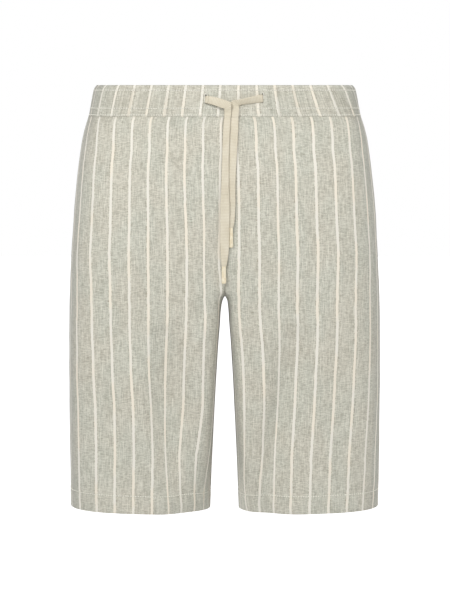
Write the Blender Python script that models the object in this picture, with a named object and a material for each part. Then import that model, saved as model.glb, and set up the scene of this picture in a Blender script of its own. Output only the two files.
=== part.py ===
"""Drawstring bermuda shorts, filled out as if worn, with every sewn piece a closed wall of its own.

+Z is up, the front faces -Y and the wearer's left is +X. The origin is the middle of the waist opening,
halfway up the waistband, where the wearer's waist holds the shorts up. Lengths are in metres.
"""

import math
from collections import namedtuple

import bmesh
import bpy
import numpy as np

# Driving sizes
CLOTH = 0.0012  # wall of one layer of the striped cloth
BAND_WALL = 0.0034  # folded casing with the elastic inside it
SEAM_GAP = 0.0003  # between neighbouring pieces
WAIST_TOP = 0.019
WAIST_SEAM = -0.019
CROTCH = -0.2375
HEM_EDGE = -0.5034  # at the inseam, and HEM_SIDE at the side seam
HEM_SIDE = -0.4980
TURN_UP = 0.022  # height of the hem's inner layer
TURN_UP_WALL = 0.0011
TURN_UP_GAP = 0.0006  # its facets run the other way on the back, so it keeps a little more than a seam's gap

TAPE_WIDTH = 0.0105
TAPE_THICKNESS = 0.0010
BUTTONHOLE_HEIGHT = 0.0105
BUTTONHOLE_WIDTH = 0.0026

# One leg's outline at each height, for the half at +X. Its oval reaches from the inner side to the side
# seam, furthest forward at front_x and furthest back at back_x. Above the crotch the inner side lies past
# the middle of the body, which cuts the oval open there along the rise seams. Each quarter has its own
# squareness, at the front outer_square and inner_square: 2 is an ellipse, and more is squarer.
Level = namedtuple(
    "Level", "z side_x front_x front_y outer_square inner_square back_x back_y inner_x"
)
LEVELS = [
    Level(0.0190, 0.1600, 0.045, 0.0985, 4.20, 2.30, 0.048, 0.1050, -0.700),
    Level(0.0000, 0.1626, 0.048, 0.1005, 4.20, 2.30, 0.050, 0.1075, -0.650),
    Level(-0.0190, 0.1668, 0.052, 0.1035, 4.20, 2.30, 0.054, 0.1115, -0.600),
    Level(-0.0310, 0.1705, 0.056, 0.1060, 4.10, 2.30, 0.057, 0.1150, -0.560),
    Level(-0.0500, 0.1750, 0.061, 0.1095, 4.00, 2.30, 0.061, 0.1210, -0.500),
    Level(-0.0750, 0.1787, 0.067, 0.1125, 4.00, 2.30, 0.066, 0.1275, -0.430),
    Level(-0.1000, 0.1817, 0.071, 0.1140, 4.00, 2.40, 0.070, 0.1320, -0.350),
    Level(-0.1300, 0.1846, 0.075, 0.1145, 4.00, 2.60, 0.075, 0.1345, -0.250),
    Level(-0.1600, 0.1866, 0.079, 0.1140, 4.00, 2.90, 0.079, 0.1342, -0.165),
    Level(-0.1900, 0.1882, 0.083, 0.1128, 4.00, 3.40, 0.083, 0.1318, -0.085),
    Level(-0.2200, 0.1896, 0.086, 0.1110, 4.00, 4.20, 0.087, 0.1280, -0.022),
    Level(-0.2320, 0.1900, 0.087, 0.1102, 4.00, 4.60, 0.088, 0.1262, -0.0065),
    Level(CROTCH, 0.1903, 0.088, 0.1097, 4.00, 4.80, 0.089, 0.1250, SEAM_GAP / 2),
    Level(-0.2445, 0.1906, 0.0885, 0.1091, 4.00, 5.00, 0.090, 0.1237, 0.0031),
    Level(-0.2575, 0.1909, 0.089, 0.1081, 4.00, 5.20, 0.091, 0.1215, 0.0050),
    Level(-0.2710, 0.1912, 0.090, 0.1072, 4.00, 5.40, 0.092, 0.1194, 0.0058),
    Level(-0.2960, 0.1914, 0.0915, 0.1052, 4.00, 5.60, 0.094, 0.1154, 0.0078),
    Level(-0.3200, 0.1914, 0.093, 0.1034, 4.00, 5.80, 0.096, 0.1118, 0.0093),
    Level(-0.3700, 0.1912, 0.0955, 0.0998, 3.80, 5.60, 0.099, 0.1052, 0.0121),
    Level(-0.4320, 0.1906, 0.0975, 0.0960, 3.50, 4.40, 0.102, 0.0985, 0.0150),
    Level(-0.4690, 0.1902, 0.0985, 0.0940, 3.20, 3.00, 0.103, 0.0955, 0.0165),
    Level(-0.5060, 0.1898, 0.099, 0.0922, 2.80, 1.90, 0.104, 0.0930, 0.0180),
]

BACK_OUTER_SQUARE = 2.6
BACK_INNER_SQUARE = 2.2

# Rows of the panels from the waist seam to the hem. Each starts at rise_z on the rise seam or inseam and
# ends at side_z on the side seam, because the rows crowd together round the crotch.
Row = namedtuple("Row", "rise_z side_z")
ROWS = [
    Row(WAIST_SEAM - SEAM_GAP / 2, WAIST_SEAM - SEAM_GAP / 2),
    Row(-0.034, -0.034),
    Row(-0.052, -0.052),
    Row(-0.075, -0.075),
    Row(-0.100, -0.099),
    Row(-0.127, -0.124),
    Row(-0.156, -0.149),
    Row(-0.183, -0.172),
    Row(-0.205, -0.194),
    Row(-0.2200, -0.214),
    Row(-0.2300, -0.232),
    Row(-0.2350, -0.249),
    Row(CROTCH, -0.264),
    Row(-0.2415, -0.279),
    Row(-0.2495, -0.295),
    Row(-0.2630, -0.312),
    Row(-0.2830, -0.331),
    Row(-0.3090, -0.353),
    Row(-0.3400, -0.377),
    Row(-0.3730, -0.402),
    Row(-0.4060, -0.428),
    Row(-0.4380, -0.453),
    Row(HEM_EDGE + TURN_UP, HEM_SIDE + TURN_UP),
    Row(HEM_EDGE + TURN_UP / 2, HEM_SIDE + TURN_UP / 2),
    Row(HEM_EDGE, HEM_SIDE),
]
HEM_ROWS = ROWS[-3:]
INNER_COLUMNS = 7  # from the rise seam or inseam to the furthest point forward or back
OUTER_COLUMNS = 10  # from there to the side seam

# The largest soft folds, as ridges (depth over 0) and troughs along a line down the cloth
Fold = namedtuple("Fold", "panel top_x low_x top_z low_z width depth")
FOLDS = [
    Fold("front_right", -0.086, -0.066, -0.300, -0.560, 0.044, -0.0050),
    Fold("front_right", -0.050, -0.036, -0.180, -0.520, 0.050, 0.0025),
    Fold("front_left", 0.078, 0.040, -0.270, -0.560, 0.044, -0.0045),
    Fold("front_left", 0.112, 0.090, -0.240, -0.530, 0.056, 0.0025),
    Fold("back_right", -0.120, -0.092, -0.170, -0.470, 0.060, -0.0050),
    Fold("back_right", -0.064, -0.074, -0.290, -0.560, 0.050, -0.0040),
    Fold("back_left", 0.100, 0.118, -0.190, -0.520, 0.058, -0.0045),
    Fold("back_left", 0.052, 0.066, -0.250, -0.500, 0.050, -0.0035),
]

# The casing's cross-section, upwards on the outside and down on the inside: how far inside the outer
# face, and how high between the seam and the folded top edge, which rolls inwards
BAND_SECTION = [
    (0.0000, WAIST_SEAM + SEAM_GAP / 2),
    (-0.0004, -0.0100),
    (-0.0006, 0.0010),
    (-0.0001, 0.0110),
    (0.0008, 0.0155),
    (0.0022, 0.0181),
    (0.0040, WAIST_TOP),
    (0.0054, 0.0178),
    (0.0056, 0.0150),
    (BAND_WALL, 0.0100),
    (BAND_WALL, WAIST_SEAM + SEAM_GAP / 2),
]
BAND_COLUMNS = 18  # in each quarter of the waist

# Buttonholes: the band has shifted a little towards the wearer's left
Buttonhole = namedtuple("Buttonhole", "x z")
RIGHT_HOLE = Buttonhole(-0.0231, 0.0017)
LEFT_HOLE = Buttonhole(0.0450, 0.0030)

# Each tape's way over the cloth from its buttonhole to its tip, in the XZ plane. turn is the angle that
# its width makes with the upright, width is how wide it shows, and lift is its middle over the cloth.
Station = namedtuple("Station", "x z turn width lift")
RIGHT_TAPE = [
    Station(RIGHT_HOLE.x, 0.0017, -3, 0.0086, -0.0016),
    Station(RIGHT_HOLE.x, 0.0017, -5, 0.0086, 0.0003),
    Station(-0.0222, 0.0016, -7, 0.0087, 0.0015),
    Station(-0.0201, 0.0013, -9, 0.0090, 0.0016),
    Station(-0.0165, 0.0006, -12, 0.0095, 0.0016),
    Station(-0.0100, -0.0012, -15, 0.0102, 0.0018),
    Station(-0.0045, -0.0029, -19, 0.0104, 0.0022),
    Station(-0.0001, -0.0046, -31, 0.0106, 0.0026),
    Station(0.0028, -0.0056, -48, 0.0108, 0.0030),
    Station(0.0033, -0.0085, -68, 0.0092, 0.0032),
    Station(0.0031, -0.0130, -86, 0.0074, 0.0032),
    Station(0.0028, -0.0180, -89, 0.0070, 0.0030),
    Station(0.0021, -0.0270, -93, 0.0070, 0.0028),
    Station(0.0014, -0.0380, -93, 0.0070, 0.0026),
    Station(0.0006, -0.0560, -92, 0.0071, 0.0026),
    Station(0.0001, -0.0760, -91, 0.0074, 0.0026),
    Station(-0.0002, -0.0960, -90, 0.0080, 0.0028),
    Station(-0.0002, -0.1100, -90, 0.0094, 0.0030),
    Station(-0.0002, -0.1240, -90, TAPE_WIDTH, 0.0032),
    Station(-0.0003, -0.1450, -91, TAPE_WIDTH, 0.0036),
    Station(-0.0005, -0.1640, -91, 0.0107, 0.0037),
    Station(-0.0007, -0.1790, -91, 0.0104, 0.0036),
    Station(-0.0009, -0.1890, -92, 0.0086, 0.0034),
    Station(-0.0011, -0.1960, -92, 0.0064, 0.0032),
    Station(-0.0012, -0.1990, -92, 0.0054, 0.0031),
]
LEFT_TAPE = [
    Station(LEFT_HOLE.x, 0.0030, 3, 0.0088, -0.0016),
    Station(LEFT_HOLE.x, 0.0030, 4, 0.0088, 0.0003),
    Station(0.0441, 0.0029, 5, 0.0090, 0.0014),
    Station(0.0421, 0.0027, 6, 0.0090, 0.0015),
    Station(0.0385, 0.0021, 9, 0.0088, 0.0014),
    Station(0.0325, 0.0010, 11, 0.0082, 0.0013),
    Station(0.0265, 0.0000, 12, 0.0074, 0.0013),
    Station(0.0210, -0.0010, 17, 0.0070, 0.0012),
    Station(0.0165, -0.0020, 32, 0.0080, 0.0011),
    Station(0.0133, -0.0034, 55, 0.0098, 0.0010),
    Station(0.0123, -0.0075, 78, 0.0096, 0.0010),
    Station(0.0121, -0.0130, 88, 0.0093, 0.0010),
    Station(0.0116, -0.0230, 93, 0.0096, 0.0010),
    Station(0.0109, -0.0360, 93, 0.0101, 0.0010),
    Station(0.0101, -0.0480, 94, 0.0103, 0.0010),
    Station(0.0089, -0.0680, 93, 0.0102, 0.0010),
    Station(0.0079, -0.0880, 92, 0.0101, 0.0010),
    Station(0.0075, -0.1060, 91, 0.0101, 0.0010),
    Station(0.0074, -0.1240, 90, 0.0101, 0.0010),
    Station(0.0073, -0.1370, 90, 0.0098, 0.0011),
    Station(0.0072, -0.1450, 90, 0.0082, 0.0013),
    Station(0.0071, -0.1500, 90, 0.0064, 0.0015),
    Station(0.0071, -0.1526, 90, 0.0054, 0.0016),
]
TAPE_STEPS = 2  # rings of the solid from one station to the next

# Wrapped tips: where each hangs, below the last station of its tape
TIP_WIDTH = 0.0058
TIP_THICKNESS = 0.0026
TIP_SIDES = 12
Tip = namedtuple("Tip", "x top_z low_z lift")
RIGHT_TIP = Tip(-0.0015, -0.1993, -0.2199, 0.0031)
LEFT_TIP = Tip(0.0071, -0.1529, -0.1767, 0.0016)

for leftover in list(bpy.data.objects):
    bpy.data.objects.remove(leftover)


# Materials


def plain_material(name, color, roughness):
    material = bpy.data.materials.new(name)
    material.use_nodes = True
    shader = material.node_tree.nodes["Principled BSDF"]
    shader.inputs["Base Color"].default_value = (*color, 1.0)
    shader.inputs["Roughness"].default_value = roughness
    shader.inputs["Metallic"].default_value = 0.0
    return material


STRIPED_CLOTH = plain_material("striped_cloth", (0.55, 0.55, 0.47), 0.9)
TAPE = plain_material("ribbed_tape", (0.74, 0.68, 0.55), 0.85)
WRAP = plain_material("tip_wrap", (0.82, 0.74, 0.55), 0.6)


# The shape of the filled-out shorts


def slopes(heights, values):
    """Slopes of a smooth curve through the values that never swings past them."""
    steps = np.diff(heights)
    rates = np.diff(values) / steps
    found = np.concatenate([rates[:1], np.zeros(len(values) - 2), rates[-1:]])
    for i in range(1, len(values) - 1):
        if rates[i - 1] * rates[i] > 0:
            before = 2 * steps[i] + steps[i - 1]
            after = steps[i] + 2 * steps[i - 1]
            found[i] = (before + after) / (before / rates[i - 1] + after / rates[i])
    return found


TABLE = np.array(LEVELS)[::-1]
SLOPES = np.array([slopes(TABLE[:, 0], column) for column in TABLE.T]).T


def level_at(z):
    """The outline's sizes at height z, read smoothly between the rows of LEVELS."""
    z = min(max(z, TABLE[0, 0]), TABLE[-1, 0])
    i = min(int(np.searchsorted(TABLE[:, 0], z, side="right")) - 1, len(TABLE) - 2)
    step = TABLE[i + 1, 0] - TABLE[i, 0]
    t = (z - TABLE[i, 0]) / step
    values = (
        TABLE[i] * (1 + 2 * t) * (1 - t) ** 2
        + SLOPES[i] * step * t * (1 - t) ** 2
        + TABLE[i + 1] * t * t * (3 - 2 * t)
        + SLOPES[i + 1] * step * t * t * (t - 1)
    )
    return Level(z, *values[1:])


def quarter(level, back, outer):
    """Furthest point, reach inwards or outwards, depth and squareness of one quarter of the oval."""
    if back:
        middle_x, depth = level.back_x, level.back_y
        square = BACK_OUTER_SQUARE if outer else BACK_INNER_SQUARE
    else:
        middle_x, depth = level.front_x, level.front_y
        square = level.outer_square if outer else level.inner_square
    reach = level.side_x - middle_x if outer else middle_x - level.inner_x
    return middle_x, reach, depth, square


QUARTER_POINTS = 120


def trimmed(points, distances):
    """The points from where distances turns positive, with the crossing point put first."""
    i = int(np.argmax(distances >= 0))
    if i == 0:
        return points
    share = distances[i - 1] / (distances[i - 1] - distances[i])
    crossing = points[i - 1] + share * (points[i] - points[i - 1])
    return np.vstack([crossing, points[i:]])


def half_outline(z, back):
    """(x, depth) from the rise seam or inseam to the side seam, as two runs that meet furthest out."""
    level = level_at(z)
    angle = np.linspace(0, math.pi / 2, QUARTER_POINTS)
    middle_x, reach, depth, square = quarter(level, back, outer=False)
    inner = np.column_stack(
        [middle_x - reach * np.cos(angle) ** (2 / square), depth * np.sin(angle) ** (2 / square)]
    )
    inner = trimmed(inner, inner[:, 0] - SEAM_GAP / 2)
    inner = trimmed(inner, inner[:, 1] - SEAM_GAP / 2)
    middle_x, reach, depth, square = quarter(level, back, outer=True)
    outer = np.column_stack(
        [middle_x + reach * np.sin(angle) ** (2 / square), depth * np.cos(angle) ** (2 / square)]
    )
    outer = trimmed(outer[::-1], outer[::-1, 1] - SEAM_GAP / 2)[::-1]
    return inner, outer


def along(run, share):
    """The point a share of the way along a run of points."""
    steps = np.hypot(*np.diff(run, axis=0).T)
    length = np.concatenate([[0], np.cumsum(steps)])
    return np.array([np.interp(share * length[-1], length, run[:, k]) for k in (0, 1)])


def fullness(x, depth, z, back):
    """Over 1 outside the oval and under 1 inside it."""
    level = level_at(z)
    furthest_x = level.back_x if back else level.front_x
    middle_x, reach, size, square = quarter(level, back, outer=x > furthest_x)
    return (abs(x - middle_x) / reach) ** square + (max(depth, 0) / size) ** square


def outward(x, depth, z, back):
    """Unit normal of the oval's surface at a point on it, with depth counted away from the middle."""
    step = 1e-5
    slope = np.array(
        [
            fullness(x + step, depth, z, back) - fullness(x - step, depth, z, back),
            fullness(x, depth + step, z, back) - fullness(x, depth - step, z, back),
            fullness(x, depth, z + step, back) - fullness(x, depth, z - step, back),
        ]
    )
    return slope / np.linalg.norm(slope)


def fold_height(panel, x, z):
    """How far the soft folds of a panel lift the cloth at a place."""
    height = 0.0
    for fold in FOLDS:
        down = (fold.top_z - z) / (fold.top_z - fold.low_z)
        if fold.panel != panel or not 0 < down < 1:
            continue
        across = (x - fold.top_x - down * (fold.low_x - fold.top_x)) / fold.width
        if abs(across) < 0.5:
            height += fold.depth * math.cos(math.pi * across) ** 2 * math.sin(math.pi * down) ** 0.7
    return height


# Meshes


def add_object(name, points, faces, material):
    mesh = bpy.data.meshes.new(name)
    mesh.from_pydata([tuple(point) for point in points], [], faces)
    mesh.materials.append(material)
    shell = bmesh.new()
    shell.from_mesh(mesh)
    bmesh.ops.recalc_face_normals(shell, faces=shell.faces)
    shell.to_mesh(mesh)
    shell.free()
    mesh.shade_smooth()
    mesh.set_sharp_from_angle(angle=math.radians(40))
    added = bpy.data.objects.new(name, mesh)
    bpy.context.scene.collection.objects.link(added)
    return added


def add_loft(name, rings, material):
    """A solid through a row of rings of equally many points, with a cap on each end."""
    size = len(rings[0])
    faces = []
    for i in range(len(rings) - 1):
        for j in range(size):
            a, b = i * size + j, i * size + (j + 1) % size
            faces += [(a, b, b + size), (a, b + size, a + size)]
    last = (len(rings) - 1) * size
    faces += [tuple(reversed(range(size))), tuple(range(last, last + size))]
    return add_object(name, [point for ring in rings for point in ring], faces, material)


def wall(name, outer, inner, ring=False):
    """A closed wall of cloth between two grids of points. A ring's last column meets its first."""
    rows, columns = outer.shape[:2]
    layer = rows * columns
    faces = []
    for side, start in ((1, 0), (-1, layer)):
        for r in range(rows - 1):
            for c in range(columns if ring else columns - 1):
                a, b = start + r * columns + c, start + r * columns + (c + 1) % columns
                faces += [(a, b + columns, b)[::side], (a, a + columns, b + columns)[::side]]
    top = list(range(columns))
    bottom = [layer - 1 - c for c in range(columns)]
    if ring:
        loops = [top, bottom]
    else:
        down = [r * columns + columns - 1 for r in range(1, rows - 1)]
        up = [r * columns for r in range(rows - 2, 0, -1)]
        loops = [top + down + bottom + up]
    for loop in loops:
        for a, b in zip(loop, loop[1:] + loop[:1]):
            faces += [(a, b, b + layer), (a, b + layer, a + layer)]
    points = np.concatenate([outer.reshape(-1, 3), inner.reshape(-1, 3)])
    add_object(name, points, faces, STRIPED_CLOTH)


# Front and back panels


def panel_grid(panel, rows, sink):
    """A panel's face, or the surface sink further in, as a grid of points [row, column, xyz]."""
    back, left = panel.startswith("back"), panel.endswith("left")
    shares = [(0, k / INNER_COLUMNS) for k in range(INNER_COLUMNS)]
    shares += [(1, k / OUTER_COLUMNS) for k in range(OUTER_COLUMNS + 1)]
    sign = np.array([1 if left else -1, 1 if back else -1, 1])
    points = []
    for row in rows:
        for k, (run, share) in enumerate(shares):
            nearness = math.cos(math.pi / 2 * (k / (len(shares) - 1)) ** 1.6) ** 2
            z = row.side_z + (row.rise_z - row.side_z) * nearness
            x, depth = along(half_outline(z, back)[run], share)
            height = fold_height(panel, x * sign[0], z) - sink
            points.append((np.array([x, depth, z]) + outward(x, depth, z, back) * height) * sign)
    return np.array(points).reshape(len(rows), len(shares), 3)


for panel in ("front_right", "front_left", "back_right", "back_left"):
    wall(panel, panel_grid(panel, ROWS, 0), panel_grid(panel, ROWS, CLOTH))


# Turned-up hems


def hem_grid(side, sink):
    """All round one leg opening, from the inseam over the front to the side seam and back behind."""
    front = panel_grid(f"front_{side}", HEM_ROWS, sink)
    back = panel_grid(f"back_{side}", HEM_ROWS, sink)
    return np.concatenate([front, back[:, -2:0:-1]], axis=1)


for side in ("right", "left"):
    sink = CLOTH + TURN_UP_GAP
    wall(f"hem_{side}", hem_grid(side, sink), hem_grid(side, sink + TURN_UP_WALL), ring=True)


# Waistband, with its two buttonholes


def band_column(x_sign, share, back):
    """The casing's cross-section at a share of the way from the middle of the front or back."""
    loop = []
    for inset, z in BAND_SECTION:
        x, depth = along(np.vstack(half_outline(z, back)), share)
        if share == 0:
            x = 0.0
        normal = outward(x, depth, WAIST_SEAM / 2, back)
        sunk = np.array([x, depth]) - normal[:2] * inset
        loop.append((x_sign * sunk[0], sunk[1] if back else -sunk[1], z))
    return loop


def buttonhole_cutter(hole):
    bpy.ops.mesh.primitive_cube_add(size=1, location=(hole.x, -0.100, hole.z))
    cutter = bpy.context.object
    cutter.name = "buttonhole_cutter"
    cutter.scale = (BUTTONHOLE_WIDTH, 0.03, BUTTONHOLE_HEIGHT)
    bpy.ops.object.transform_apply(location=False, rotation=False)
    cutter.hide_render = True
    cutter.display_type = "WIRE"
    return cutter


for name, back in (("waistband_front", False), ("waistband_back", True)):
    shares = [(-1, k / BAND_COLUMNS) for k in range(BAND_COLUMNS, 0, -1)]
    shares += [(1, k / BAND_COLUMNS) for k in range(BAND_COLUMNS + 1)]
    rings = [band_column(x_sign, share, back) for x_sign, share in shares]
    band = add_loft(name, rings, STRIPED_CLOTH)
    if not back:
        for hole in (RIGHT_HOLE, LEFT_HOLE):
            cut = band.modifiers.new("buttonhole", "BOOLEAN")
            cut.solver = "EXACT"
            cut.object = buttonhole_cutter(hole)


# Drawstring


def front_depth(x, z):
    """How far forward the cloth's outer face is at a place near the middle of the front."""
    run = half_outline(z, False)[0]
    proud = -BAND_SECTION[2][0] if z > WAIST_SEAM else 0.0
    return np.interp(abs(x), run[:, 0], run[:, 1]) + proud


def hanging_depth(x, z):
    """A tape lies on the furthest forward cloth above it, and hangs straight down from there."""
    heights = np.arange(z, RIGHT_HOLE.z, 0.004)
    return max(front_depth(x, height) for height in [z, *heights])


def smooth_through(stations):
    """The stations with TAPE_STEPS rings from each to the next, on a smooth curve."""
    table = np.array(stations)
    padded = np.vstack([2 * table[0] - table[1], table, 2 * table[-1] - table[-2]])
    found = []
    for before, start, end, after in zip(padded, padded[1:], padded[2:], padded[3:]):
        for t in np.arange(TAPE_STEPS) / TAPE_STEPS:
            found.append(
                start
                + 0.5 * t * (end - before)
                + t * t * (before - 2.5 * start + 2 * end - 0.5 * after)
                + t**3 * (1.5 * (start - end) + 0.5 * (after - before))
            )
    return [Station(*row) for row in [*found, table[-1]]]


def add_tape(name, stations):
    stations = smooth_through(stations)
    middles = np.array([(s.x, -hanging_depth(s.x, s.z) - s.lift, s.z) for s in stations])
    headings = np.gradient(middles, axis=0)
    edge = 0.0003
    rings = []
    for station, middle, heading in zip(stations, middles, headings):
        turn = math.radians(station.turn)
        across = np.array([-math.sin(turn), 0, math.cos(turn)])
        through = np.cross(heading, across)
        through *= TAPE_THICKNESS / 2 / np.linalg.norm(through)
        half, short = station.width / 2 * across, (station.width / 2 - edge) * across
        rings.append(
            [middle + offset for offset in (
                half, short + through, -short + through, -half, -short - through, short - through
            )]
        )
    add_loft(name, rings, TAPE)


add_tape("drawstring_right", RIGHT_TAPE)
add_tape("drawstring_left", LEFT_TAPE)


# Wrapped tips

# (share of the way down, share of the full width)
TIP_PROFILE = [(0.0, 0.78), (0.04, 0.88), (0.35, 0.92), (0.85, 1.0), (0.96, 0.92), (1.0, 0.66)]


def add_tip(name, tip):
    middle_y = -hanging_depth(tip.x, tip.top_z) - tip.lift
    rings = []
    for down, size in TIP_PROFILE:
        z = tip.top_z + down * (tip.low_z - tip.top_z)
        ring = []
        for k in range(TIP_SIDES):
            angle = 2 * math.pi * k / TIP_SIDES
            across = math.cos(angle) * size * TIP_WIDTH / 2
            through = math.sin(angle) * size * TIP_THICKNESS / 2
            ring.append((tip.x + across, middle_y + through, z))
        rings.append(ring)
    add_loft(name, rings, WRAP)


add_tip("tip_right", RIGHT_TIP)
add_tip("tip_left", LEFT_TIP)
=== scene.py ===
import math
from collections import namedtuple

import bmesh
import bpy
import numpy as np
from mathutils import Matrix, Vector, noise


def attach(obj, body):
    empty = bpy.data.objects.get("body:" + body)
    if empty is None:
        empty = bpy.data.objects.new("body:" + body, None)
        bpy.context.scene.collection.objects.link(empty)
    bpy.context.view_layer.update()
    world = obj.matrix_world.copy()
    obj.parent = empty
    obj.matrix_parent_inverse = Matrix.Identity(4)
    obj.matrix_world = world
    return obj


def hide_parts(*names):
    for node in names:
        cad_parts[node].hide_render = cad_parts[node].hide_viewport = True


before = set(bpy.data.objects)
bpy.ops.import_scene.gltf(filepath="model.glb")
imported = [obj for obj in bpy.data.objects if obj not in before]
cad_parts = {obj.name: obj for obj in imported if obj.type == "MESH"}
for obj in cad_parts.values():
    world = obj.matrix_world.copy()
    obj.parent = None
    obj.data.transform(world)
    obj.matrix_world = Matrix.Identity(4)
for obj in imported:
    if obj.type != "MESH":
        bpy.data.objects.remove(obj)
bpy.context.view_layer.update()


# Front and back panels
# Four panels of matt linen-look cloth, two fronts and two backs, cut from the waist seam to the hem.
# Sewn at the side seams, inseams and rise, and filled out, each one wraps half of one leg.

WAIST_TOP = 0.019
WAIST_SEAM = -0.019
CROTCH = -0.2375
HEM_EDGE = -0.5034
HEM_SIDE = -0.4980
HEM_HEIGHT = 0.022
CLOTH = 0.0009

# One leg's outline at each height, for the half at +X. Its oval reaches from the inner side to the side
# seam, furthest forward at front_x and furthest back at back_x. Above the crotch the inner side lies past
# the middle of the body, which cuts the oval open there along the rise seams.
Level = namedtuple("Level", "z side_x front_x front_y outer_square inner_square back_x back_y inner_x")
LEVELS = [
    (0.0190, 0.1600, 0.045, 0.0985, 4.20, 2.30, 0.048, 0.1050, -0.700),
    (0.0000, 0.1626, 0.048, 0.1005, 4.20, 2.30, 0.050, 0.1075, -0.650),
    (-0.0190, 0.1668, 0.052, 0.1035, 4.20, 2.30, 0.054, 0.1115, -0.600),
    (-0.0310, 0.1705, 0.056, 0.1060, 4.10, 2.30, 0.057, 0.1150, -0.560),
    (-0.0500, 0.1750, 0.061, 0.1095, 4.00, 2.30, 0.061, 0.1210, -0.500),
    (-0.0750, 0.1787, 0.067, 0.1125, 4.00, 2.30, 0.066, 0.1275, -0.430),
    (-0.1000, 0.1817, 0.071, 0.1140, 4.00, 2.40, 0.070, 0.1320, -0.350),
    (-0.1300, 0.1846, 0.075, 0.1145, 4.00, 2.60, 0.075, 0.1345, -0.250),
    (-0.1600, 0.1866, 0.079, 0.1140, 4.00, 2.90, 0.079, 0.1342, -0.165),
    (-0.1900, 0.1882, 0.083, 0.1128, 4.00, 4.20, 0.083, 0.1318, -0.085),
    (-0.2200, 0.1896, 0.086, 0.1110, 4.00, 6.40, 0.087, 0.1280, -0.022),
    (-0.2320, 0.1900, 0.087, 0.1102, 4.00, 8.00, 0.088, 0.1262, -0.0065),
    (CROTCH, 0.1903, 0.088, 0.1097, 4.00, 8.60, 0.089, 0.1250, 0.0),
    (-0.2445, 0.1906, 0.0885, 0.1091, 4.00, 8.60, 0.090, 0.1237, 0.0031),
    (-0.2575, 0.1909, 0.089, 0.1081, 4.00, 8.60, 0.091, 0.1215, 0.0050),
    (-0.2710, 0.1912, 0.090, 0.1072, 4.00, 8.60, 0.092, 0.1194, 0.0058),
    (-0.2960, 0.1914, 0.0915, 0.1052, 4.00, 8.60, 0.094, 0.1154, 0.0078),
    (-0.3200, 0.1914, 0.093, 0.1034, 4.00, 8.20, 0.096, 0.1118, 0.0093),
    (-0.3700, 0.1912, 0.0955, 0.0998, 3.80, 7.40, 0.099, 0.1052, 0.0121),
    (-0.4320, 0.1906, 0.0975, 0.0960, 3.50, 5.20, 0.102, 0.0985, 0.0150),
    (-0.4690, 0.1902, 0.0985, 0.0940, 3.20, 3.40, 0.103, 0.0955, 0.0165),
    (-0.5060, 0.1898, 0.099, 0.0922, 2.80, 2.00, 0.104, 0.0930, 0.0180),
]
BACK_OUTER_SQUARE = 2.6
BACK_INNER_SQUARE = 2.2

# Rows of the cloth, fanned round the crotch: from the rise seam or inseam to the side seam
Row = namedtuple("Row", "rise_z side_z")
ROWS = [
    (WAIST_SEAM, WAIST_SEAM),
    (-0.034, -0.034),
    (-0.052, -0.052),
    (-0.075, -0.075),
    (-0.100, -0.099),
    (-0.127, -0.124),
    (-0.156, -0.149),
    (-0.183, -0.172),
    (-0.205, -0.194),
    (-0.2200, -0.214),
    (-0.2300, -0.232),
    (-0.2350, -0.249),
    (CROTCH, -0.264),
    (-0.2415, -0.279),
    (-0.2495, -0.295),
    (-0.2630, -0.312),
    (-0.2830, -0.331),
    (-0.3090, -0.353),
    (-0.3400, -0.377),
    (-0.3730, -0.402),
    (-0.4060, -0.428),
    (-0.4380, -0.453),
    (HEM_EDGE + HEM_HEIGHT, HEM_SIDE + HEM_HEIGHT),
    (HEM_EDGE, HEM_SIDE),
]
FAN = 1.6
ROW_STEPS = 6
WALL_COLUMNS = 14
FRONT_COLUMNS = 26
OUTER_COLUMNS = 44

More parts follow.
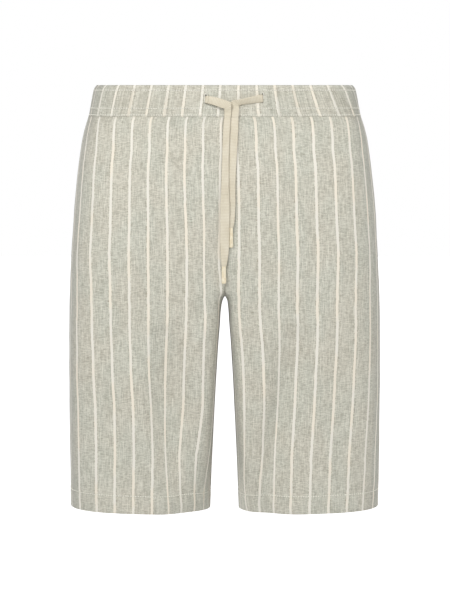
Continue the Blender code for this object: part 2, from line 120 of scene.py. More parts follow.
# Folds and creases, each along a line down or across the cloth that bows by bend at its middle: troughs
# have a depth under 0
Crease = namedtuple("Crease", "top_x top_z low_x low_z bend width depth")
CREASES = {
    "front_right": [
        (-0.070, -0.270, -0.034, -0.508, -0.008, 0.080, -0.0140),
        (-0.110, -0.310, -0.078, -0.508, -0.010, 0.050, 0.0035),
        (-0.050, -0.180, -0.028, -0.400, -0.004, 0.044, 0.0020),
        (-0.148, -0.250, -0.142, -0.480, 0.003, 0.034, -0.0012),
        (-0.012, -0.236, -0.078, -0.286, 0.002, 0.026, -0.0009),
        (-0.014, -0.254, -0.060, -0.318, 0.003, 0.022, 0.0008),
        (-0.090, -0.330, -0.040, -0.372, -0.002, 0.022, 0.0008),
        (-0.120, -0.040, -0.124, -0.150, 0.003, 0.030, -0.0008),
        (-0.066, -0.030, -0.062, -0.120, -0.002, 0.024, 0.0006),
    ],
    "front_left": [
        (0.088, -0.270, 0.051, -0.508, -0.006, 0.060, -0.0105),
        (0.066, -0.300, 0.028, -0.508, -0.006, 0.036, 0.0022),
        (0.114, -0.240, 0.096, -0.530, 0.004, 0.050, 0.0022),
        (0.142, -0.300, 0.132, -0.500, 0.003, 0.038, -0.0014),
        (0.020, -0.262, 0.058, -0.300, 0.002, 0.024, 0.0009),
        (0.012, -0.238, 0.086, -0.276, -0.002, 0.026, -0.0010),
        (0.046, -0.330, 0.100, -0.362, 0.003, 0.024, 0.0007),
        (0.132, -0.036, 0.138, -0.160, -0.003, 0.030, -0.0008),
        (0.072, -0.030, 0.076, -0.130, 0.002, 0.024, 0.0006),
    ],
    "back_right": [
        (-0.120, -0.170, -0.092, -0.470, 0.006, 0.060, -0.0055),
        (-0.064, -0.290, -0.074, -0.560, -0.006, 0.050, -0.0045),
        (-0.012, -0.244, -0.094, -0.310, 0.004, 0.028, -0.0018),
        (-0.014, -0.266, -0.070, -0.348, -0.004, 0.024, 0.0014),
        (-0.152, -0.220, -0.140, -0.420, 0.004, 0.036, 0.0016),
        (-0.110, -0.360, -0.050, -0.404, 0.003, 0.026, 0.0010),
    ],
    "back_left": [
        (0.100, -0.190, 0.118, -0.520, -0.005, 0.058, -0.0050),
        (0.052, -0.250, 0.066, -0.500, 0.006, 0.050, -0.0040),
        (0.012, -0.248, 0.084, -0.296, -0.003, 0.026, -0.0016),
        (0.014, -0.272, 0.062, -0.356, 0.004, 0.022, 0.0013),
        (0.148, -0.240, 0.142, -0.460, 0.003, 0.040, 0.0014),
        (0.108, -0.330, 0.058, -0.366, 0.003, 0.024, -0.0009),
    ],
}


def slopes(heights, values):
    """Slopes of a smooth curve through the values that never swings past them."""
    steps = np.diff(heights)
    rates = np.diff(values) / steps
    found = np.concatenate([rates[:1], np.zeros(len(values) - 2), rates[-1:]])
    for i in range(1, len(values) - 1):
        if rates[i - 1] * rates[i] > 0:
            before = 2 * steps[i] + steps[i - 1]
            after = steps[i] + 2 * steps[i - 1]
            found[i] = (before + after) / (before / rates[i - 1] + after / rates[i])
    return found


def smooth_table(rows):
    """A table whose first column rises, with the slopes of its other columns."""
    table = np.array(rows, float)
    table = table[np.argsort(table[:, 0])]
    return table, np.array([slopes(table[:, 0], column) for column in table.T]).T


def read_table(smooth, place):
    table, rates = smooth
    place = min(max(place, table[0, 0]), table[-1, 0])
    i = min(int(np.searchsorted(table[:, 0], place, side="right")) - 1, len(table) - 2)
    step = table[i + 1, 0] - table[i, 0]
    t = (place - table[i, 0]) / step
    return (
        table[i] * (1 + 2 * t) * (1 - t) ** 2
        + rates[i] * step * t * (1 - t) ** 2
        + table[i + 1] * t * t * (3 - 2 * t)
        + rates[i + 1] * step * t * t * (t - 1)
    )


LEVEL_CURVES = smooth_table(LEVELS)
ROW_CURVES = smooth_table([(i, *row) for i, row in enumerate(ROWS)])


def level_at(z):
    return Level(z, *read_table(LEVEL_CURVES, z)[1:])


def quarter(level, back, outer):
    """Furthest point, reach, depth and squareness of one quarter of the oval."""
    if back:
        middle_x, depth = level.back_x, level.back_y
        square = BACK_OUTER_SQUARE if outer else BACK_INNER_SQUARE
    else:
        middle_x, depth = level.front_x, level.front_y
        square = level.outer_square if outer else level.inner_square
    reach = level.side_x - middle_x if outer else middle_x - level.inner_x
    return middle_x, reach, depth, square


ANGLES = np.linspace(0, math.pi / 2, 160)
SINES, COSINES = np.sin(ANGLES), np.cos(ANGLES)


def trimmed(points, distances):
    """The points from where distances turns positive, with the crossing point put first."""
    i = int(np.argmax(distances >= 0))
    if i == 0:
        return points
    share = distances[i - 1] / (distances[i - 1] - distances[i])
    crossing = points[i - 1] + share * (points[i] - points[i - 1])
    return np.vstack([crossing, points[i:]])


def half_outline(z, back):
    """(x, depth) from the rise seam or inseam to the side seam, as two runs that meet furthest out."""
    level = level_at(z)
    middle_x, reach, depth, square = quarter(level, back, outer=False)
    inner = np.column_stack([middle_x - reach * COSINES ** (2 / square), depth * SINES ** (2 / square)])
    for k in (0, 1):
        inner = trimmed(inner, inner[:, k])
    middle_x, reach, depth, square = quarter(level, back, outer=True)
    outer = np.column_stack([middle_x + reach * SINES ** (2 / square), depth * COSINES ** (2 / square)])
    outer = trimmed(outer[::-1], outer[::-1, 1])[::-1]
    return inner, outer


def run_lengths(run):
    """How far along a run of points each one lies."""
    return np.concatenate([[0], np.cumsum(np.linalg.norm(np.diff(run, axis=0), axis=1))])


def along(run, share):
    """The point a share of the way along a run, and the run's length."""
    length = run_lengths(run)
    at = share * length[-1]
    return np.interp(at, length, run[:, 0]), np.interp(at, length, run[:, 1]), length[-1]


CORNER_X = 0.010
CORNER_REACH = 0.006


def corner_share(run, inner_x):
    """How far along the inner run the cloth turns from the leg's inner wall to its front or back."""
    length = run_lengths(run)
    return np.interp(max(CORNER_X, inner_x + CORNER_REACH), run[:, 0], length) / length[-1]


def outward_at(x, depth, z, back, outer):
    """The unit normal of the oval surface at a point, as (x, depth, z)."""

    def inside(x, depth, z):
        middle_x, reach, furthest, square = quarter(level_at(z), back, outer)
        return (abs(x - middle_x) / reach) ** square + (abs(depth) / furthest) ** square

    step = 0.00002
    normal = np.array(
        [
            inside(x + step, depth, z) - inside(x - step, depth, z),
            inside(x, depth + step, z) - inside(x, depth - step, z),
            inside(x, depth, z + step) - inside(x, depth, z - step),
        ]
    )
    return normal / np.linalg.norm(normal)


def nearness(share):
    """1 at the rise seam, falling to 0 at the side seam, at a share of the way across a panel."""
    return np.cos(math.pi / 2 * share**FAN) ** 2


def base_grid(back):
    """The smooth surface of one panel at +X: points [row, column, xyz], outward normals and the arc
    from where the panel stands furthest out."""
    columns = WALL_COLUMNS + FRONT_COLUMNS + OUTER_COLUMNS
    rows = (len(ROWS) - 1) * ROW_STEPS + 1
    points = np.zeros((rows, columns + 1, 3))
    normals = np.zeros_like(points)
    arcs = np.zeros((rows, columns + 1))
    for r in range(rows):
        row = Row(*read_table(ROW_CURVES, r / ROW_STEPS)[1:])
        for k in range(columns + 1):
            z = row.side_z + (row.rise_z - row.side_z) * nearness(k / columns)
            inner, outer = half_outline(z, back)
            if k < WALL_COLUMNS + FRONT_COLUMNS:
                corner = corner_share(inner, level_at(z).inner_x)
                if k < WALL_COLUMNS:
                    share = corner * k / WALL_COLUMNS
                else:
                    share = corner + (1 - corner) * (k - WALL_COLUMNS) / FRONT_COLUMNS
                x, depth, length = along(inner, share)
                arcs[r, k] = (share - 1) * length
            else:
                share = (k - WALL_COLUMNS - FRONT_COLUMNS) / OUTER_COLUMNS
                x, depth, length = along(outer, share)
                arcs[r, k] = share * length
            facing = outward_at(x, depth, z, back, k >= WALL_COLUMNS + FRONT_COLUMNS)
            forward = 1 if back else -1
            points[r, k] = x, depth * forward, z
            normals[r, k] = facing * (1, forward, 1)
    return points, normals, arcs


def step_up(value, low, high):
    """0 below low, 1 above high and smooth between."""
    t = np.clip((value - low) / (high - low), 0, 1)
    return t * t * (3 - 2 * t)


def bell(distance, width):
    """1 at no distance, falling away within about a width."""
    return np.exp(-((distance / width) ** 2))


def crease_height(panel, x, z):
    """How far the folds and creases lift each point of a panel."""
    height = np.zeros_like(x)
    for row in CREASES[panel]:
        crease = Crease(*row)
        run = np.array([crease.low_x - crease.top_x, crease.low_z - crease.top_z])
        length = np.linalg.norm(run)
        run /= length
        down = ((x - crease.top_x) * run[0] + (z - crease.top_z) * run[1]) / length
        inside = (down > 0) & (down < 1)
        down = np.clip(down, 0, 1)
        bow = crease.bend * 4 * down * (1 - down)
        across = ((z - crease.top_z) * run[0] - (x - crease.top_x) * run[1] - bow) / crease.width
        inside &= abs(across) < 0.5
        bump = np.cos(math.pi * across) ** 2 * np.sin(math.pi * down) ** 0.7
        height += np.where(inside, crease.depth * bump, 0)
    return height


def unevenness(points, per_metre, seed):
    """Smooth noise from -1 to 1 at each point."""
    flat = points.reshape(-1, 3)
    values = [noise.noise(Vector(point) * per_metre + Vector((seed, 0, 0))) for point in flat]
    return np.array(values).reshape(points.shape[:-1])


# The stripes' pitch, and where they lie on each panel: at each height, first is how far along the cloth the
# stripe nearest the rise is from the line that stands furthest out, and ease over 1 gathers the cloth.
# side_ease and inner_ease are the cloth taken up as it turns to the side seam and to the inner leg.
# Columns: z, first, ease, side_ease, inner_ease
PITCH = 0.0232
LAYS = {
    "front_right": [
        (-0.024, -0.0491, 1.090, 0.0046, 0.0000),
        (-0.061, -0.0590, 1.074, 0.0047, -0.0001),
        (-0.123, -0.0705, 1.039, 0.0047, -0.0070),
        (-0.185, -0.0832, 0.991, 0.0048, -0.0139),
        (-0.247, -0.0880, 1.011, 0.0049, -0.0019),
        (-0.260, -0.0881, 1.015, 0.0052, 0.0006),
        (-0.308, -0.0886, 1.026, 0.0066, 0.0010),
        (-0.370, -0.0911, 1.009, 0.0084, 0.0014),
        (-0.432, -0.0887, 1.008, 0.0102, 0.0018),
        (-0.494, -0.0944, 1.022, 0.0120, 0.0023),
    ],
    "front_left": [
        (-0.024, -0.0414, 0.971, -0.0039, 0.0000),
        (-0.061, -0.0502, 0.966, -0.0039, -0.0001),
        (-0.123, -0.0583, 0.957, -0.0039, -0.0046),
        (-0.185, -0.0656, 0.945, -0.0039, 0.0006),
        (-0.247, -0.0713, 0.962, -0.0040, 0.0024),
        (-0.260, -0.0710, 0.966, -0.0039, 0.0028),
        (-0.308, -0.0700, 0.978, -0.0035, 0.0030),
        (-0.370, -0.0711, 0.983, -0.0030, 0.0033),
        (-0.432, -0.0745, 0.992, -0.0025, 0.0036),
        (-0.494, -0.0851, 1.006, -0.0020, 0.0039),
    ],
    "back_right": [
        (-0.024, -0.0600, 1.10, 0.0, 0.0),
        (-0.123, -0.0630, 1.00, 0.0, 0.0),
        (-0.247, -0.0660, 0.98, 0.0, 0.0),
        (-0.370, -0.0680, 1.00, 0.0, 0.0),
        (-0.494, -0.0700, 1.02, 0.0, 0.0),
    ],
    "back_left": [
        (-0.024, -0.0640, 1.10, 0.0, 0.0),
        (-0.123, -0.0660, 1.00, 0.0, 0.0),
        (-0.247, -0.0690, 0.98, 0.0, 0.0),
        (-0.370, -0.0720, 1.00, 0.0, 0.0),
        (-0.494, -0.0750, 1.02, 0.0, 0.0),
    ],
}

# The fold that takes up cloth between two stripes on each front: how much, at each height, round a line
# that is middle along the cloth at the fold's level and leans by lean
TAKE_UP_LEVEL = -0.40
TAKE_UP_WIDTH = 0.030
TakeUp = namedtuple("TakeUp", "middle lean amounts")
TAKE_UPS = {
    "front_right": TakeUp(
        middle=-0.0183,
        lean=0.165,
        amounts=[(-0.27, 0.0), (-0.33, 0.0041), (-0.37, 0.0082), (-0.432, 0.0133), (-0.494, 0.0065)],
    ),
    "front_left": TakeUp(
        middle=-0.0396,
        lean=0.116,
        amounts=[(-0.27, 0.0027), (-0.33, 0.0081), (-0.37, 0.0105), (-0.432, 0.0121), (-0.494, 0.0034)],
    ),
}


def cloth_across(panel, arcs, z):
    """The place across the uncut cloth of each point, with stripes at whole pitches."""
    table = np.array(LAYS[panel])[::-1]
    first, ease, side_ease, inner_ease = (np.interp(z, table[:, 0], table[:, k]) for k in range(1, 5))
    place = (arcs - first) * ease
    place -= side_ease * step_up(arcs, 0.050, 0.125)
    place += inner_ease * step_up(-arcs, 0.040, 0.100)
    if panel in TAKE_UPS:
        fold = TAKE_UPS[panel]
        amounts = np.array(fold.amounts)[::-1]
        middle = fold.middle + fold.lean * (z - TAKE_UP_LEVEL)
        amount = np.interp(z, amounts[:, 0], amounts[:, 1])
        place += amount * step_up(arcs, middle - TAKE_UP_WIDTH / 2, middle + TAKE_UP_WIDTH / 2)
    return place


def new_object(name, data):
    """An object in the scene."""
    made = bpy.data.objects.new(name, data)
    bpy.context.scene.collection.objects.link(made)
    return made


def add_mesh(name, points, faces, place=None):
    """A mesh object, with each point's place on the uncut cloth as UVs where it is given."""
    mesh = bpy.data.meshes.new(name)
    mesh.from_pydata([tuple(point) for point in points], [], faces)
    if place is not None:
        corners = np.zeros(len(mesh.loops), int)
        mesh.loops.foreach_get("vertex_index", corners)
        layer = mesh.uv_layers.new(name="cloth")
        layer.data.foreach_set("uv", np.asarray(place)[corners].reshape(-1))
    return new_object(name, mesh)


def net_faces(rows, columns, ring=True):
    """Faces between rows of points, each row closed into a ring or left open."""
    faces = []
    for r in range(rows - 1):
        for c in range(columns if ring else columns - 1):
            a, b = r * columns + c, r * columns + (c + 1) % columns
            faces.append((a, b, b + columns, a + columns))
    return faces


def grid_object(name, points, outward, place, seam, gathered=0.0, ring=False):
    """A grid of cloth as an open mesh facing outward. Seam and gathered say how near each point is to a
    seam and how tightly its cloth is drawn up, which sets the painted shade and the sunk relief of its
    pleats."""
    rows, columns = points.shape[:2]
    normal = np.cross(np.diff(points, axis=1)[:-1], np.diff(points, axis=0)[:, :-1])
    faces = net_faces(rows, columns, ring)
    if np.sum(normal * outward[:-1, :-1]) < 0:
        faces = [face[::-1] for face in faces]
    made = add_mesh(name, points.reshape(-1, 3), faces, place.reshape(-1, 2))
    for kind, amount in (("seam", seam), ("gathered", gathered)):
        spread = np.broadcast_to(amount, (rows, columns)).astype(np.float32)
        made.data.attributes.new(kind, "FLOAT", "POINT").data.foreach_set("value", spread.reshape(-1))
    return made


def apply_all(piece):
    """Applies the piece's modifiers, with nothing else selected."""
    bpy.ops.object.select_all(action="DESELECT")
    bpy.context.view_layer.objects.active = piece
    piece.select_set(True)
    for modifier in list(piece.modifiers):
        bpy.ops.object.modifier_apply(modifier=modifier.name)
    piece.select_set(False)


def make_cloth(piece):
    """Gives an open grid the cloth's thickness inwards, with softly turned edges."""
    wall = piece.modifiers.new("wall", "SOLIDIFY")
    wall.thickness = CLOTH
    wall.offset = -1
    edge = piece.modifiers.new("edge", "BEVEL")
    edge.width = CLOTH * 0.3
    edge.segments = 2
    edge.limit_method = "ANGLE"
    edge.angle_limit = math.radians(60)
    apply_all(piece)
    piece.data.shade_smooth()
    piece.data.set_sharp_from_angle(angle=math.radians(50))


def linear(red, green, blue):
    """A colour on screen, 0 to 255, as the linear colour that a shader takes."""
    return tuple(
        c / 12.92 if c <= 0.04045 else ((c + 0.055) / 1.055) ** 2.4
        for c in (red / 255, green / 255, blue / 255)
    ) + (1.0,)


class Nodes:
    """Short ways to add and join shader nodes in one tree."""

    def __init__(self, tree):
        self.tree = tree

    def join(self, source, target):
        self.tree.links.new(source, target)

    def add(self, kind, inputs=(), **settings):
        """A node with its settings, and inputs given by name or number as a value or a joined socket."""
        node = self.tree.nodes.new(kind)
        for name, value in settings.items():
            setattr(node, name, value)
        for name, value in dict(inputs).items():
            if isinstance(value, bpy.types.NodeSocket):
                self.join(value, node.inputs[name])
            else:
                node.inputs[name].default_value = value
        return node

    def math(self, operation, *values):
        return self.add("ShaderNodeMath", enumerate(values), operation=operation).outputs[0]

    def times(self, first, second):
        return self.math("MULTIPLY", first, second)

    def plus(self, first, second):
        return self.math("ADD", first, second)

    def map(self, *values):
        """Takes a value, low and high, and gives 0 at low and 1 at high, smooth between."""
        node = self.add("ShaderNodeMapRange", enumerate(values), interpolation_type="SMOOTHSTEP")
        return node.outputs[0]

    def mix(self, share, first, second):
        return self.add("ShaderNodeMix", {0: share, 6: first, 7: second}, data_type="RGBA").outputs[2]

    def tint(self, base, mask, strength, color):
        """The base colour taken towards another by a mask, by strength where the mask is full."""
        return self.mix(self.times(mask, strength), base, color)

    def parts(self, place):
        """The separate parts of a place."""
        return tuple(self.add("ShaderNodeSeparateXYZ", {0: place}).outputs)

    def object_place(self):
        return self.add("ShaderNodeTexCoord").outputs["Object"]

    def cloth_place(self):
        """The place across and down the uncut cloth."""
        return self.parts(self.add("ShaderNodeUVMap", uv_map="cloth").outputs[0])[:2]

    def amount(self, name):
        """How much a point of the mesh has of what is stored under a name."""
        return self.add("ShaderNodeAttribute", attribute_name=name).outputs["Fac"]

    def noise(self, place, across, down, offset, detail):
        """Noise over a place on the cloth, in cells so many to the metre across and down, drawn apart
        from the others by offset."""
        cells = self.times(place[0], across), self.times(place[1], down), offset
        cells = self.add("ShaderNodeCombineXYZ", enumerate(cells)).outputs[0]
        inputs = {"Vector": cells, "Scale": 1.0, "Detail": detail}
        return self.add("ShaderNodeTexNoise", inputs).outputs[0]

    def speckle(self, per_metre):
        """Noise all through an object."""
        inputs = {"Vector": self.object_place(), "Scale": per_metre}
        return self.add("ShaderNodeTexNoise", inputs).outputs[0]

    def group(self, tree, place):
        """What a shader group gives out for a place on the cloth."""
        inputs = {"Across": place[0], "Along": place[1]}
        return self.add("ShaderNodeGroup", inputs, node_tree=tree).outputs

    def bump(self, shader, height, strength, distance):
        """Lets a height bend the light on a shader."""
        inputs = {"Height": height, "Strength": strength, "Distance": distance}
        self.join(self.add("ShaderNodeBump", inputs).outputs[0], shader["Normal"])


def new_material(name, roughness, specular, sheen=0.0):
    """A material, its nodes and the inputs of its shader."""
    material = bpy.data.materials.new(name)
    material.use_nodes = True
    shader = material.node_tree.nodes["Principled BSDF"].inputs
    shader["Roughness"].default_value = roughness
    shader["Specular IOR Level"].default_value = specular
    shader["Sheen Weight"].default_value = sheen
    return material, Nodes(material.node_tree), shader


def shader_group(name, inputs, outputs):
    """An empty node group with its sockets: the tree, its nodes, what it is given and what it gives out."""
    tree = bpy.data.node_groups.new(name, "ShaderNodeTree")
    for socket, value in inputs.items():
        kind = "NodeSocketColor" if isinstance(value, tuple) else "NodeSocketFloat"
        tree.interface.new_socket(name=socket, in_out="INPUT", socket_type=kind).default_value = value
    for socket in outputs:
        kind = "NodeSocketColor" if socket == "Color" else "NodeSocketFloat"
        tree.interface.new_socket(name=socket, in_out="OUTPUT", socket_type=kind)
    nodes = Nodes(tree)
    return tree, nodes, nodes.add("NodeGroupInput").outputs, nodes.add("NodeGroupOutput").inputs


# Linen weave: uneven light warp threads, short dark slubs in the weft, and slow drifts of shade
linen_weave, nodes, given, out = shader_group(
    "linen_weave",
    {
        "Across": 0.0,
        "Along": 0.0,
        "Ground": linear(205, 203, 190),
        "Light Yarn": linear(232, 230, 217),
        "Dark Slub": linear(128, 124, 106),
    },
    ["Color", "Height"],
)
place = given["Across"], given["Along"]
cool = nodes.mix(0.12, given["Ground"], linear(176, 194, 184))
warm = nodes.mix(0.14, given["Ground"], linear(214, 196, 176))
shade = nodes.mix(nodes.map(nodes.noise(place, 24, 15, 3.1, 2.0), 0.36, 0.64), cool, warm)
# Each kind of thread: how many to the metre across and down, offset, detail, where its noise starts and
# where it is full, and how strongly it takes the shade towards a yarn
threads = {}
for name, across, down, offset, detail, low, high, strength, yarn in (
    ("fine weft", 190, 1150, 7.7, 0.0, 0.40, 0.60, 0.37, "Dark Slub"),
    ("fine warp", 1150, 85, 17.7, 0.0, 0.40, 0.60, 0.40, "Light Yarn"),
    ("grain", 1150, 1150, 29.3, 0.0, 0.38, 0.62, 0.22, "Dark Slub"),
    ("warp", 760, 42, 11.3, 1.0, 0.59, 0.68, 0.36, "Light Yarn"),
    ("slub rows", 150, 900, 19.9, 1.0, 0.60, 0.68, 0.30, "Dark Slub"),
):
    threads[name] = nodes.map(nodes.noise(place, across, down, offset, detail), low, high)
    shade = nodes.tint(shade, threads[name], strength, given[yarn])
nodes.join(shade, out["Color"])
THREAD_PITCH = 0.0011
over, under = (nodes.math("SINE", nodes.times(way, 2 * math.pi / THREAD_PITCH)) for way in place)
relief = nodes.math("MULTIPLY_ADD", nodes.times(over, under), 0.35, 0.4)
relief = nodes.plus(relief, nodes.times(threads["warp"], 0.5))
relief = nodes.plus(relief, nodes.times(threads["slub rows"], 0.7))
nodes.join(relief, out["Height"])

# Woven stripe: a mask for the cream warp stripes at whole pitches, one for their dotted edges and one for
# their slanting twill
woven_stripe, nodes, given, out = shader_group(
    "woven_stripe",
    {"Across": 0.0, "Along": 0.0, "Pitch": PITCH, "Width": 0.0034},
    ["Stripe", "Edge", "Twill"],
)
place = across, down = given["Across"], given["Along"]
waver = nodes.math("MULTIPLY_ADD", nodes.noise(place, 0, 60, 5.3, 2.0), 0.0012, -0.0006)
rough_edge = nodes.math("MULTIPLY_ADD", nodes.noise(place, 500, 900, 13.7, 1.0), 0.0010, -0.0005)
half = nodes.times(given["Pitch"], 0.5)
shifted = nodes.plus(nodes.plus(across, half), nodes.plus(waver, rough_edge))
from_middle = nodes.math("SUBTRACT", nodes.math("FLOORED_MODULO", shifted, given["Pitch"]), half)
from_middle = nodes.math("ABSOLUTE", from_middle)
from_edge = nodes.math("SUBTRACT", from_middle, nodes.times(given["Width"], 0.5))
nodes.join(nodes.map(from_edge, 0.0003, -0.0003), out["Stripe"])
near_edge = nodes.math("ABSOLUTE", nodes.math("SUBTRACT", from_edge, 0.0003))
dots = nodes.map(nodes.noise(place, 200, 520, 23.1, 1.0), 0.46, 0.62)
nodes.join(nodes.times(nodes.map(near_edge, 0.0005, 0.0001), dots), out["Edge"])
slant = nodes.plus(nodes.times(down, 4300.0), nodes.times(across, 2600.0))
nodes.join(nodes.math("MULTIPLY_ADD", nodes.math("SINE", slant), 0.5, 0.5), out["Twill"])

striped_cloth, nodes, shader = new_material("striped_cloth", roughness=0.9, specular=0.2, sheen=0.28)
place = nodes.cloth_place()
weave = nodes.group(linen_weave, place)
stripe = nodes.group(woven_stripe, place)
cream = nodes.mix(stripe["Twill"], linear(224, 220, 208), linear(239, 236, 226))
dye = nodes.map(nodes.noise(place, 43, 22, 41.7, 1.0), 0.42, 0.62)
cream = nodes.tint(cream, dye, 0.55, linear(237, 227, 207))
# Painted shade: the ground is darkened where it turns away from the eye, except by the flared inner corners
# of the hems
turned_away = nodes.map(nodes.add("ShaderNodeLayerWeight").outputs["Facing"], 0.30, 0.90)
x, _, z = nodes.parts(nodes.object_place())
flared = nodes.times(nodes.map(nodes.math("ABSOLUTE", x), 0.070, 0.045), nodes.map(z, -0.43, -0.48))
painted_turned_shade = nodes.times(turned_away, nodes.math("SUBTRACT", 1.0, flared))
color = nodes.tint(weave["Color"], painted_turned_shade, 0.36, linear(96, 98, 90))
color = nodes.tint(color, stripe["Edge"], 0.75, linear(140, 120, 94))
color = nodes.mix(stripe["Stripe"], color, cream)
color = nodes.tint(color, nodes.amount("seam"), 0.55, linear(120, 112, 96))
# Painted shade: fine upright pleats where the cloth is drawn up darken the colour in their troughs, and the
# same pleats sink the bump
pleat_shade_and_relief = nodes.map(nodes.noise(place, 430, 16, 31.1, 1.0), 0.60, 0.40)
pleat_shade_and_relief = nodes.times(pleat_shade_and_relief, nodes.amount("gathered"))
color = nodes.tint(color, pleat_shade_and_relief, 0.30, linear(136, 134, 120))
nodes.join(color, shader["Base Color"])
height = nodes.plus(weave["Height"], nodes.times(stripe["Stripe"], 0.9))
height = nodes.math("SUBTRACT", height, nodes.times(pleat_shade_and_relief, 1.5))
height = nodes.plus(height, nodes.times(stripe["Twill"], nodes.times(stripe["Stripe"], 0.5)))
nodes.bump(shader, height, 0.45, 0.0003)

# What the cloth does on top of its folds: slow and fine waves, each a height and so many to the metre,
# gathers under the band, a dip and a ridge beside it at each seam, and a dip at the hem's stitching
WAVES = [(0.0007, 14), (0.00025, 45)]
GATHER_HEIGHT = {"front": 0.0005, "back": 0.0011}
GATHERS_PER_METRE = 95
GATHER_DRAWN_OUT = np.array([1, 1, 0.12])
GATHER_REACH = 0.030
SEAM_DIP, SEAM_DIP_WIDTH = 0.0004, 0.0020
RIDGE, RIDGE_AT, RIDGE_WIDTH = 0.0003, 0.0050, 0.0030
HEM_DIP, HEM_DIP_AT, HEM_DIP_WIDTH = 0.0003, 0.0222, 0.0016
DOUBLED_HEM = 0.0002
CROTCH_TUCK, CROTCH_TUCK_WIDTH = 0.0035, 0.014
# How strongly each seam is shaded, and how strongly and how far below the band the cloth is drawn up into
# pleats whose troughs are painted in shade
RISE_SHADE = {"front": 0.25, "back": 0.5}
SIDE_SHADE = 0.5
SEAM_SHADE_WIDTH = 0.0012
BAND_SHADE, BAND_SHADE_WIDTH = 0.25, 0.0010
DRAWN_UP, DRAWN_UP_REACH = 0.8, 0.016
PANELS_APART = PITCH * 40
PANEL_FLAT = {"front": (0.315, 0.500, 0.147), "back": (0.335, 0.515, 0.150)}

grids = {}
for side, back in (("front", False), ("back", True)):
    base, normals, arcs = base_grid(back)
    from_rise = np.array([run_lengths(row) for row in base])
    to_side = from_rise[:, -1:] - from_rise
    for wearer, sign in (("right", -1), ("left", 1)):
        panel = f"{side}_{wearer}"
        mirror = np.array([sign, 1, 1])
        points, outward = base * mirror, normals * mirror
        x, z = points[..., 0], points[..., 2]
        seed = 3.0 * sign + (7.0 if back else 0.0)
        below_band = WAIST_SEAM - z
        above_hem = z - (HEM_SIDE + (HEM_EDGE - HEM_SIDE) * nearness(np.linspace(0, 1, x.shape[1])))
        away = step_up(np.minimum(from_rise, to_side), 0, 0.010)
        clear = away * (step_up(abs(x), 0.014, 0.034) if not back else 1.0)
        lift = away * crease_height(panel, x, z)
        for k, (height, per_metre) in enumerate(WAVES):
            lift += clear * height * unevenness(points, per_metre, seed + k)
        gathers = unevenness(points * GATHER_DRAWN_OUT, GATHERS_PER_METRE, seed + 2)
        lift += clear * GATHER_HEIGHT[side] * gathers * np.exp(-below_band / GATHER_REACH)
        for distance in (from_rise, to_side):
            lift -= SEAM_DIP * bell(distance, SEAM_DIP_WIDTH)
            lift += RIDGE * bell(distance - RIDGE_AT, RIDGE_WIDTH)
        lift -= HEM_DIP * bell(above_hem - HEM_DIP_AT, HEM_DIP_WIDTH)
        lift += DOUBLED_HEM * step_up(-above_hem, -0.0215, -0.0185)
        points = points + outward * lift[..., None]
        on_rise = abs(base[:, :1, 0]) < 1e-6
        points[..., 0] += np.where(on_rise, 1 - step_up(from_rise, 0, 0.004), 0) * (x - points[..., 0])
        if not back:
            near_crotch = step_up(-z, 0.140, 0.200) * (1 - step_up(-z, 0.250, 0.310))
            near_crotch *= step_up(-points[..., 1], 0.045, 0.095)
            points[..., 1] -= CROTCH_TUCK * near_crotch * bell(x, CROTCH_TUCK_WIDTH)
        place = np.stack([cloth_across(panel, arcs, z), z], axis=2)
        place[..., 0] += PANELS_APART * (1 + len(grids))
        seam = BAND_SHADE * bell(below_band, BAND_SHADE_WIDTH)
        for distance, shade in ((from_rise, RISE_SHADE[side]), (to_side, SIDE_SHADE)):
            seam = np.maximum(seam, shade * bell(distance, SEAM_SHADE_WIDTH))
        grids[panel] = points, outward, place
        gathered = DRAWN_UP * clear * np.exp(-below_band / DRAWN_UP_REACH)
        piece = grid_object(f"cloth_{panel}", points, outward, place, seam, gathered)
        make_cloth(piece)
        piece.data.materials.append(striped_cloth)
        width, length, area = PANEL_FLAT[side]
        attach(piece, "root")
        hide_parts(panel)


# Turned-up hems
# Each leg's lower edge is folded up inside once and held by a row of stitching, so the cloth lies double.
# The turned layer goes all round the leg opening.

HEM_GAP = 0.00005

for wearer in ("right", "left"):
    rows = slice(-ROW_STEPS - 1, None)
    ring = []
    for front, back in zip(grids[f"front_{wearer}"], grids[f"back_{wearer}"]):
        ring.append(np.concatenate([front[rows], back[rows, -2:0:-1]], axis=1))
    points, outward, place = ring
    sunk = points - outward * (CLOTH + HEM_GAP)
    sunk[-1] += outward[-1] * CLOTH * 0.3
    piece = grid_object(f"cloth_hem_{wearer}", sunk, outward, place, seam=0.0, ring=True)
    make_cloth(piece)
    piece.data.materials.append(striped_cloth)
    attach(piece, "root")
    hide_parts(f"hem_{wearer}")


# Waistband
# A folded casing of the same cloth with the stripes running up it, sewn over the panels' top edge. Wide
# elastic inside gathers it a little, and three rows of stitching go through cloth and elastic.

BAND_WALL = 0.0034
BAND_SECTION = [
    (0.0002, WAIST_SEAM),
    (-0.0001, WAIST_SEAM + 0.0007),
    (-0.0002, -0.0140),
    (-0.0004, -0.0090),
    (-0.0006, 0.0010),
    (-0.0001, 0.0110),
    (0.0008, 0.0148),
    (0.0024, 0.0178),
    (0.0042, WAIST_TOP),
    (0.0056, 0.0176),
    (0.0057, 0.0150),
    (BAND_WALL, 0.0100),
    (BAND_WALL, WAIST_SEAM + 0.0004),
]
BAND_COLUMNS = 90
SECTION_STEPS = 3
OUTER_ROWS = 21
STITCH_ROWS = [0.0126, -0.0078, -0.0166]
# How the elastic ruffles the band: ripples so many to the metre round it, each drawn out upright
RIPPLES, RIPPLE_DRAWN_OUT = 110, np.array([1, 1, 0.16])
RIPPLE_HEIGHT = {"front": 0.00035, "back": 0.0009}
INNER_RIPPLE_HEIGHT = 0.0004
FINE_RIPPLES, FINE_DRAWN_OUT = 260, np.array([1, 1, 0.35])
FINE_RIPPLE_HEIGHT = 0.00016
STITCH_DIP, STITCH_DIP_WIDTH = 0.00028, 0.0011
BACK_EASE = 1.02
BAND_PLACE = {"front": PITCH * 280, "back": PITCH * 300.4}

